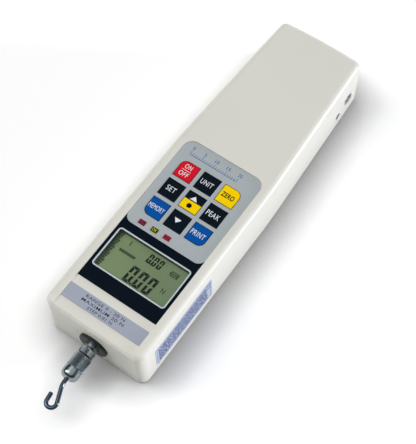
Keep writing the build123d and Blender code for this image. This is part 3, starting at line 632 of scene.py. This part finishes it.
WINDOW_EDGE = 0.8            # the bright frame round the clear opening
LEDGE = 1.3                  # the pane reaches this far past the opening
SHADE_INSIDE = 0.1            # the painted shade reaches this far into the opening
SHADE_OUTSIDE = 0.02
CORNERS = [1.2] * 4
WINDOW_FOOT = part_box("display_window")[0].z
trim_low, trim_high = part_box("window_trim")
opening = grown((in_mm(trim_low.x), past_front(trim_low.y), in_mm(trim_high.x),
                 past_front(trim_high.y)), -WINDOW_EDGE)
inner_edge = rounded(*grown(opening, -SHADE_INSIDE), CORNERS)
# Painted shade on the pane's ledge and on the walls of the display's opening.
band("painted_window_shade", rounded(*grown(opening, LEDGE), CORNERS), inner_edge,
     WINDOW_FOOT, WINDOW_FOOT + PRINT, on_top, WINDOW_SHADE_LOOK, "housing")
band("opening_painted_shade", rounded(*grown(opening, SHADE_OUTSIDE), CORNERS), inner_edge,
     LCD_TOP + SUNK, WINDOW_FOOT, on_top, WINDOW_SHADE_LOOK, "housing")

# Faint bar-graph marks on the display's left edge; their uneven teeth also paint the shade that
# falls there.
COMB_TEETH, COMB_PITCH, COMB_TOOTH = 16, 1.6, 1.3
COMB_REACHES = (3.2, 2.4, 2.8)                     # lengths of the teeth, in turn
comb_left, comb_foot = opening[:2]
prisms("bar_graph_and_edge_shade",
       [bar(comb_left, comb_foot + COMB_PITCH * step, comb_left + COMB_REACHES[step % 3],
            comb_foot + COMB_PITCH * step + COMB_TOOTH) for step in range(COMB_TEETH)],
       *LCD_LEVELS, on_top, FAINT, "housing")

# ------------------------------------------------------------------ side label
LABEL_CORNERS = [1.5] * 4
LABEL_MARGIN, LABEL_FRAME = 1.2, 0.25              # printed frame: its inset and its line
LABEL_ROWS, ROW_HEIGHT = 9, 1.25
FIRST_ROW, ROW_SLACK = 1.2, 2.0                    # inside the printed frame
ROW_START, ROW_END = 1.5, 4.0                      # from the frame's ends
DASH_LENGTHS, DASH_GAPS = (1.0, 4.0), (0.3, 0.7)
label_out = LABEL_HIGH.x - PRINT
start, end = past_front(LABEL_LOW.y), past_front(LABEL_HIGH.y)
foot, head = in_mm(LABEL_LOW.z), in_mm(LABEL_HIGH.z)
film = prisms("label_film", [rounded(start, foot, end, head, LABEL_CORNERS)], LABEL_LOW.x,
              label_out, on_side, LABEL_FILM, "housing")
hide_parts("side_label")
dashes = outline_bars(*grown((start, foot, end, head), -LABEL_MARGIN), LABEL_FRAME)
chance = random.Random(7)
row_pitch = (head - foot - 2 * LABEL_MARGIN - ROW_SLACK) / LABEL_ROWS
for row in range(LABEL_ROWS):
    level = foot + LABEL_MARGIN + FIRST_ROW + row * row_pitch
    along = start + LABEL_MARGIN + ROW_START
    while along < end - LABEL_MARGIN - ROW_END:
        length = chance.uniform(*DASH_LENGTHS)
        dashes.append(bar(along, level, along + length, level + ROW_HEIGHT))
        along += length + chance.uniform(*DASH_GAPS)
prisms("label_rules", dashes, label_out - SUNK, LABEL_HIGH.x, on_side, LABEL_PRINT, "housing")

# ------------------------------------------------------------------ turned pieces
ON_CREST = 0.01              # a profile point this close to the crest's radius carries relief


def on_axis(distance, across, up):
    """A point round the measuring axis: millimetres in front of the wall, across and up."""
    return Vector((mm(across), FRONT - mm(distance), AXIS_Z + mm(up)))


def turned(name, profile, sides, look, body, relief=None, places=(on_axis,)):
    """Turns a closed profile about one or more axes. A profile point is (millimetres along
    the axis, radius); relief(distance, radius, angle) is taken off the radius."""
    shape = bmesh.new()
    for place in places:
        rings = []
        for distance, radius in profile:
            ring = []
            for number in range(sides):
                angle = 2 * pi * number / sides
                reach = radius - (relief(distance, radius, angle) if relief else 0.0)
                at = place(distance, reach * cos(angle), reach * sin(angle))
                ring.append(shape.verts.new(at))
            rings.append(ring)
        for ring, nearby in zip(rings, rings[1:] + rings[:1]):
            ribbon(shape, ring, nearby)
    made = piece(name, shape, look, body)
    smooth(made)
    return made


def ridge(phase):
    """1 on a whole phase, falling evenly to 0 half-way between two of them."""
    return abs(2 * (phase % 1.0) - 1)


# ------------------------------------------------------------------ hook adapter
ADAPTER_START, ADAPTER_END = -past_front(adapter_high.y), -past_front(adapter_low.y)
ADAPTER_RADIUS = in_mm((adapter_high.x - adapter_low.x) / 2)
KNURL_LENGTH, GROOVE, DOME_LENGTH = 8.9, 0.7, 3.4
GROOVE_DEPTH, NOSE_RADIUS, BORE_RADIUS, WIRE_BORE = 0.45, 2.4, 3.05, 1.27
WIRE_SEAT, BORE_END = 4.0, 16.3                    # depth of the wire's bore, end of the thread's
EDGE = 0.4                                         # chamfer of the adapter and the lock ring
GROOVE_CHAMFER, BAND_CHAMFER = 0.15, 0.12
KNURL_TEETH, KNURL_DEPTH, KNURL_RINGS = 34, 0.4, 96
KNURL_CLIMB, KNURL_SHARPNESS = 0.75, 1.5           # slope of the teeth, narrowness of the valleys
KNURL_RUNOUT, KNURL_FADE = 0.25, 0.2
KNURL_INSET, KNURL_STOP = 0.06, 0.2                # first and last ring, from the knurl's ends
DOME_RINGS = 20
GROOVE_SHADE_DEPTH = 0.24                                 # the knurl's grooves get painted shade below this depth
GROOVE_SHADE_SLACK = 0.1


def knurl(distance, radius, angle):
    """Depth below the crests of a diamond knurl, fading out at its two ends."""
    inside = min(distance - ADAPTER_START - EDGE,
                 ADAPTER_START + KNURL_LENGTH - KNURL_RUNOUT - distance)
    if inside <= 0 or radius < ADAPTER_RADIUS - ON_CREST:
        return 0.0
    turns = KNURL_TEETH * angle / (2 * pi)
    climb = KNURL_TEETH * (distance - ADAPTER_START) / (2 * pi * ADAPTER_RADIUS) * KNURL_CLIMB
    valley = max(ridge(turns + climb), ridge(turns - climb)) ** KNURL_SHARPNESS
    return KNURL_DEPTH * valley * min(1.0, inside / KNURL_FADE)


groove_start = ADAPTER_START + KNURL_LENGTH
band_start = groove_start + GROOVE
dome_start = ADAPTER_END - DOME_LENGTH
rise = ADAPTER_RADIUS - NOSE_RADIUS
dome_radius = (DOME_LENGTH ** 2 + rise ** 2) / (2 * rise)
dome_sweep = atan2(DOME_LENGTH, dome_radius - rise)
adapter_profile = [(ADAPTER_START, BORE_RADIUS), (ADAPTER_START, ADAPTER_RADIUS - EDGE),
                   (ADAPTER_START + EDGE, ADAPTER_RADIUS)]
adapter_profile += [(distance, ADAPTER_RADIUS)
                    for distance in spaced(ADAPTER_START + EDGE + KNURL_INSET,
                                           groove_start - KNURL_STOP, KNURL_RINGS)]
adapter_profile += [(groove_start, ADAPTER_RADIUS - GROOVE_CHAMFER),
                    (groove_start, ADAPTER_RADIUS - GROOVE_DEPTH),
                    (band_start, ADAPTER_RADIUS - GROOVE_DEPTH),
                    (band_start, ADAPTER_RADIUS - BAND_CHAMFER),
                    (band_start + BAND_CHAMFER, ADAPTER_RADIUS)]
adapter_profile += [(dome_start + dome_radius * sin(dome_sweep * share),
                     ADAPTER_RADIUS - dome_radius * (1 - cos(dome_sweep * share)))
                    for share in spaced(0, 1, DOME_RINGS)]
adapter_profile += [(ADAPTER_END, WIRE_BORE), (ADAPTER_END - WIRE_SEAT, WIRE_BORE),
                    (BORE_END, BORE_RADIUS)]
adapter = turned("knurled_adapter", adapter_profile, 4 * KNURL_TEETH, PLATED, "attachment", knurl)
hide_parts("hook_adapter")
# The knurl's deep faces get the painted groove shade as a second material.
adapter.data.materials.append(PAINTED_GROOVE_SHADE)
for face in adapter.data.polygons:
    distance = -past_front(face.center.y)
    radius = in_mm(hypot(face.center.x, face.center.z - AXIS_Z))
    depth = ADAPTER_RADIUS - radius
    if ADAPTER_START + EDGE < distance < groove_start:
        face.material_index = int(GROOVE_SHADE_DEPTH < depth < KNURL_DEPTH + GROOVE_SHADE_SLACK)

# ------------------------------------------------------------------ lock ring
ring_low, ring_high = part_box("lock_ring")
RING_START, RING_END = -past_front(ring_high.y), -past_front(ring_low.y)
RING_RADIUS = in_mm((ring_high.x - ring_low.x) / 2)
RING_TEETH, RIB_DEPTH, RIB_FADE, RIB_RINGS = 44, 0.2, 0.15, 16


def ring_ribs(distance, radius, angle):
    """Straight ribs round the lock ring, fading out at its chamfers."""
    inside = min(distance - RING_START - EDGE, RING_END - EDGE - distance)
    if radius < RING_RADIUS - ON_CREST or inside < 0:
        return 0.0
    return RIB_DEPTH * ridge(RING_TEETH * angle / (2 * pi)) * min(1.0, inside / RIB_FADE)


ring_profile = [(RING_START, BORE_RADIUS), (RING_START, RING_RADIUS - EDGE)]
ring_profile += [(distance, RING_RADIUS)
                 for distance in spaced(RING_START + EDGE, RING_END - EDGE, RIB_RINGS)]
ring_profile += [(RING_END, RING_RADIUS - EDGE), (RING_END, BORE_RADIUS)]
ring = turned("ribbed_lock_ring", ring_profile, 4 * RING_TEETH, PLATED, "lock_ring_body", ring_ribs)
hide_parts("lock_ring")

# ------------------------------------------------------------------ threads
THREAD_DEPTH, THREAD_SIDES = 0.32, 32
CLEAR_OF_THREAD = 0.02       # a plain point's least distance from the crest's radius


def thread(pitch, crest, inward):
    """Relief of a screw thread on the part of a profile that has the crest's radius."""
    def relief(distance, radius, angle):
        if abs(radius - crest) > ON_CREST:
            return 0.0
        return inward * THREAD_DEPTH * ridge(distance / pitch + angle / (2 * pi))
    return relief


spindle_low, spindle_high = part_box("measuring_spindle")
STUD_END, TAIL_END = -past_front(spindle_low.y), -past_front(spindle_high.y)
STUD_RADIUS, SHANK_RADIUS, STUD_PITCH, STUD_RINGS = 3.0, 4.0, 1.0, 96
SHANK_FRONT, SHOULDER = 3.0, -19.6                 # in front of the wall
STUD_EDGE, THREAD_START = 0.5, 0.1
AXIS_RADIUS = 0.01                                 # the end faces close to this radius
tail_radius = STUD_RADIUS - CLEAR_OF_THREAD
spindle_profile = [(STUD_END, AXIS_RADIUS), (STUD_END, STUD_RADIUS - STUD_EDGE),
                   (STUD_END - STUD_EDGE, STUD_RADIUS - ON_CREST)]
spindle_profile += [(distance, STUD_RADIUS)
                    for distance in spaced(STUD_END - STUD_EDGE - THREAD_START,
                                           SHANK_FRONT + THREAD_START, STUD_RINGS)]
spindle_profile += [(SHANK_FRONT, tail_radius), (SHANK_FRONT, SHANK_RADIUS),
                    (SHOULDER, SHANK_RADIUS), (SHOULDER, tail_radius), (TAIL_END, tail_radius),
                    (TAIL_END, AXIS_RADIUS)]
spindle = turned("threaded_spindle", spindle_profile, THREAD_SIDES, BARE_STEEL, "spindle",
                 thread(STUD_PITCH, STUD_RADIUS, 1))
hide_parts("measuring_spindle")

insert_low, insert_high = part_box("stand_inserts")
INSERT_RADIUS, INSERT_BORE, INSERT_PITCH, INSERT_RINGS = 3.5, 2.0, 0.7, 72
INSERT_MOUTH = 0.4                                 # countersink of the bore
INSERT_LENGTH = in_mm(insert_high.z - insert_low.z)


def upright(x, y):
    """Places round an upright axis at x, y metres, counted upwards from the back."""
    return lambda distance, across, up: Vector((x + mm(across), y + mm(up), mm(distance)))


insert_reach = mm(INSERT_RADIUS)
insert_places = [upright(x, y) for x in (insert_low.x + insert_reach, insert_high.x - insert_reach)
                 for y in (insert_low.y + insert_reach, insert_high.y - insert_reach)]
insert_profile = [(0, INSERT_BORE + INSERT_MOUTH), (0, INSERT_RADIUS),
                  (INSERT_LENGTH, INSERT_RADIUS), (INSERT_LENGTH, INSERT_BORE + CLEAR_OF_THREAD)]
insert_profile += [(distance, INSERT_BORE)
                   for distance in spaced(INSERT_LENGTH - THREAD_START, INSERT_MOUTH, INSERT_RINGS)]
inserts = turned("threaded_inserts", insert_profile, THREAD_SIDES, BRASS_BUSH, "housing",
                 thread(INSERT_PITCH, INSERT_BORE, -1), insert_places)
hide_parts("stand_inserts")

# ------------------------------------------------------------------ screws in the back
CROSS_REACH, CROSS_WIDTH, CROSS_DEPTH = 1.5, 0.55, 1.3


def island_middles(mesh):
    """The plan middles of the separate solids of a mesh, in metres."""
    shape = bmesh.new()
    shape.from_mesh(mesh)
    left = set(shape.verts)
    middles = []
    while left:
        reached = [left.pop()]
        solid = []
        while reached:
            vertex = reached.pop()
            solid.append(vertex.co.copy())
            for edge in vertex.link_edges:
                other = edge.other_vert(vertex)
                if other in left:
                    left.remove(other)
                    reached.append(other)
        across = [place.x for place in solid]
        along = [place.y for place in solid]
        middles.append(((min(across) + max(across)) / 2, (min(along) + max(along)) / 2))
    shape.free()
    return sorted(middles)


def cross_cutter(middles):
    """Two crossed bars at each middle, on the back face."""
    shape = bmesh.new()
    for x, y in middles:
        for wide, tall in ((2 * CROSS_REACH, CROSS_WIDTH), (CROSS_WIDTH, 2 * CROSS_REACH)):
            size = Matrix.Diagonal((mm(wide), mm(tall), mm(2 * CROSS_DEPTH), 1))
            bmesh.ops.create_cube(shape, size=1, matrix=Matrix.Translation((x, y, 0)) @ size)
    mesh = bpy.data.meshes.new("cross_cutter")
    shape.to_mesh(mesh)
    shape.free()
    cutter = bpy.data.objects.new("cross_cutter", mesh)
    scene.collection.objects.link(cutter)
    return cutter


def crossed_screws():
    """The cover screws with a cross recess cut into each head."""
    source = frame["nodes"]["cover_screws"]
    screws = bpy.data.objects.new("crossed_screws", source.data.copy())
    scene.collection.objects.link(screws)
    cutter = cross_cutter(island_middles(source.data))
    cut = screws.modifiers.new("cross", "BOOLEAN")
    cut.operation = "DIFFERENCE"
    cut.solver = "EXACT"
    cut.use_self = True
    cut.object = cutter
    bpy.context.view_layer.update()
    result = screws.evaluated_get(bpy.context.evaluated_depsgraph_get())
    mesh = bpy.data.meshes.new_from_object(result)
    screws.modifiers.clear()
    screws.data = mesh
    mesh.materials.clear()
    mesh.materials.append(STEEL)
    bpy.data.objects.remove(cutter)
    smooth(screws)
    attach(screws, "housing")
    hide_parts("cover_screws")


crossed_screws()

# ------------------------------------------------------------------ sockets in the side
JACK_PIN = (0.0, 0.0, 0.88)                        # across, up, radius
PORT_PIN_CIRCLE, PORT_PIN_RADIUS, PORT_PINS, PORT_TURN = 2.7, 0.53, 5, radians(45)
port_pins = [(u, v, PORT_PIN_RADIUS)
             for u, v in circle(0, 0, PORT_PIN_CIRCLE, PORT_PINS, PORT_TURN)]
SOCKETS = (                  # node, height, radius of its mouth, pins, depth of their feet
    ("charging_jack", 10.2, 3.3, [JACK_PIN], 9),
    ("data_port", 14.0, 5.2, port_pins, 4),
)
PIN_RECESS = mm(1)
SHELL, SHELL_GAP, SHELL_DEPTH = 0.45, 0.05, mm(0.4)          # the ring at a socket's mouth, painted pale as a stand-in for its reflected light
PIN_STEPS = 16
for socket, height, mouth, pins, depth in SOCKETS:
    low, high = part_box(socket)
    along = past_front((low.y + high.y) / 2)
    band(socket + "_shell", circle(along, height, mouth - SHELL_GAP),
         circle(along, height, mouth - SHELL), high.x - SHELL_DEPTH, high.x + PRINT, on_side,
         PALE_SHELL, "housing")
    prisms(socket + "_pins",
           [circle(along + u, height + v, radius, PIN_STEPS) for u, v, radius in pins],
           high.x - mm(depth), high.x - PIN_RECESS + PRINT, on_side, CONTACT, "housing")

# ------------------------------------------------------------------ floor, lights and camera
FLOOR_RADIUS, FLOOR_SIDES, FLOOR_GAP = 4.0, 96, mm(0.05)
FLOOR_COLOUR = 0.96
FLOOR_GLOW = 0.13            # share that lifts the lit floor to white
FLOOR_SHADE_REACH, FLOOR_SHADE_DEPTH = mm(22), 1.5         # shade painted into the floor's colour close to the housing: its reach and depth
FLOOR_SHADE_SAMPLES = 6


def seen_directly(nodes, links):
    """1 for the camera and for what metal and glass show, else 0."""
    path = nodes.new("ShaderNodeLightPath")
    total = path.outputs["Is Camera Ray"]
    for other in ("Is Glossy Ray", "Is Transmission Ray"):
        step = nodes.new("ShaderNodeMath")
        step.operation = "MAXIMUM"
        links.new(total, step.inputs[0])
        links.new(path.outputs[other], step.inputs[1])
        total = step.outputs[0]
    return total


def floor_material():
    """Pale diffuse floor with shade painted into its colour near the housing, and a share that only
    the camera and mirrors see.
    """
    made, nodes, links, shader = node_material("floor")
    output = nodes["Material Output"]
    nodes.remove(shader)
    matt = nodes.new("ShaderNodeBsdfDiffuse")
    # Painted shade: the floor's colour darkens where the housing is near.
    painted_floor_shade = nodes.new("ShaderNodeAmbientOcclusion")
    painted_floor_shade.samples = FLOOR_SHADE_SAMPLES
    painted_floor_shade.inputs["Distance"].default_value = FLOOR_SHADE_REACH
    painted_floor_shade.inputs["Color"].default_value = (FLOOR_COLOUR, FLOOR_COLOUR, FLOOR_COLOUR, 1)
    deepened_floor_shade = nodes.new("ShaderNodeGamma")
    deepened_floor_shade.inputs["Gamma"].default_value = FLOOR_SHADE_DEPTH
    links.new(painted_floor_shade.outputs["Color"], deepened_floor_shade.inputs["Color"])
    links.new(deepened_floor_shade.outputs["Color"], matt.inputs["Color"])
    glow = nodes.new("ShaderNodeEmission")
    strength = nodes.new("ShaderNodeMath")
    strength.operation = "MULTIPLY"
    strength.inputs[1].default_value = FLOOR_GLOW
    both = nodes.new("ShaderNodeAddShader")
    links.new(seen_directly(nodes, links), strength.inputs[0])
    links.new(strength.outputs[0], glow.inputs["Strength"])
    links.new(matt.outputs[0], both.inputs[0])
    links.new(glow.outputs[0], both.inputs[1])
    links.new(both.outputs[0], output.inputs["Surface"])
    return made


def floor():
    """A large round floor just under the housing."""
    shape = bmesh.new()
    bmesh.ops.create_circle(shape, cap_ends=True, segments=FLOOR_SIDES, radius=FLOOR_RADIUS)
    mesh = bpy.data.meshes.new("floor")
    shape.to_mesh(mesh)
    shape.free()
    mesh.materials.append(floor_material())
    made = bpy.data.objects.new("floor", mesh)
    made.location.z = -FLOOR_GAP
    scene.collection.objects.link(made)


LAMPS = (                    # name, azimuth, elevation, level, spread, colour
    ("overhead", 200, 70, 0.20, 35, (1, 1, 1)),
    ("left", 203, 45, 0.36, 35, (1, 1, 1)),
    ("low_right", 30, 5, 1.0, 10, (0.90, 0.92, 1.0)),
)


def sun_lamp(name, azimuth, elevation, level, spread, colour):
    """A soft distant lamp. At level 1 a surface that faces it shows its colour as written.
    The azimuth is counted from +X towards +Y, in degrees like the elevation and the spread."""
    light = bpy.data.lights.new(name, "SUN")
    light.energy = level * pi
    light.angle = radians(spread)
    light.color = colour
    made = bpy.data.objects.new(name, light)
    towards = Vector((cos(radians(azimuth)) * cos(radians(elevation)),
                      sin(radians(azimuth)) * cos(radians(elevation)), sin(radians(elevation))))
    made.rotation_euler = towards.to_track_quat("Z", "Y").to_euler()
    scene.collection.objects.link(made)


SKY_STOPS = ((0.04, 0.7), (0.1, 0.05), (0.62, 0.06), (0.78, 0.8), (1.0, 0.85))   # height, level


def world():
    """Studio surroundings: a bright ceiling, dark walls and a pale line at the horizon."""
    made = bpy.data.worlds.new("studio")
    scene.world = made
    made.use_nodes = True
    nodes, links = made.node_tree.nodes, made.node_tree.links
    where = nodes.new("ShaderNodeTexCoord")
    split = nodes.new("ShaderNodeSeparateXYZ")
    links.new(where.outputs["Generated"], split.inputs["Vector"])
    sky = ramp(nodes, links, split.outputs["Z"],
               [(height, (level, level, level, 1)) for height, level in SKY_STOPS])
    links.new(sky, nodes["Background"].inputs["Color"])


CAMERA_AZIMUTH, CAMERA_ELEVATION, CAMERA_ROLL = 36.437, 62.71, -1.446
CAMERA_DISTANCE = mm(709.439)
CAMERA_TARGET = on_top(2.862, 103.857, 0.0)
FRAME_HEIGHT, FOCAL_PIXELS = 444, 1201.592         # of the picture, in its pixels
SENSOR_WIDTH, NEAREST = 36, mm(10)


def camera():
    """The camera of the picture, aimed at the housing from the front right and above."""
    azimuth, elevation = radians(CAMERA_AZIMUTH), radians(CAMERA_ELEVATION)
    back = Vector((sin(azimuth) * cos(elevation), -cos(azimuth) * cos(elevation), sin(elevation)))
    right = (-back).cross(Vector((0, 0, 1))).normalized()
    up = right.cross(-back)
    roll = radians(CAMERA_ROLL)
    across = right * cos(roll) + up * sin(roll)
    above = up * cos(roll) - right * sin(roll)
    lens = bpy.data.cameras.new("camera")
    lens.sensor_width = SENSOR_WIDTH
    lens.lens = lens.sensor_width * FOCAL_PIXELS / FRAME_HEIGHT
    lens.clip_start = NEAREST
    made = bpy.data.objects.new("camera", lens)
    turn = Matrix((across, above, back)).transposed().to_4x4()
    made.matrix_world = Matrix.Translation(CAMERA_TARGET + back * CAMERA_DISTANCE) @ turn
    scene.collection.objects.link(made)
    scene.camera = made


floor()
world()
for lamp in LAMPS:
    sun_lamp(*lamp)
camera()
scene.view_settings.view_transform = "Standard"
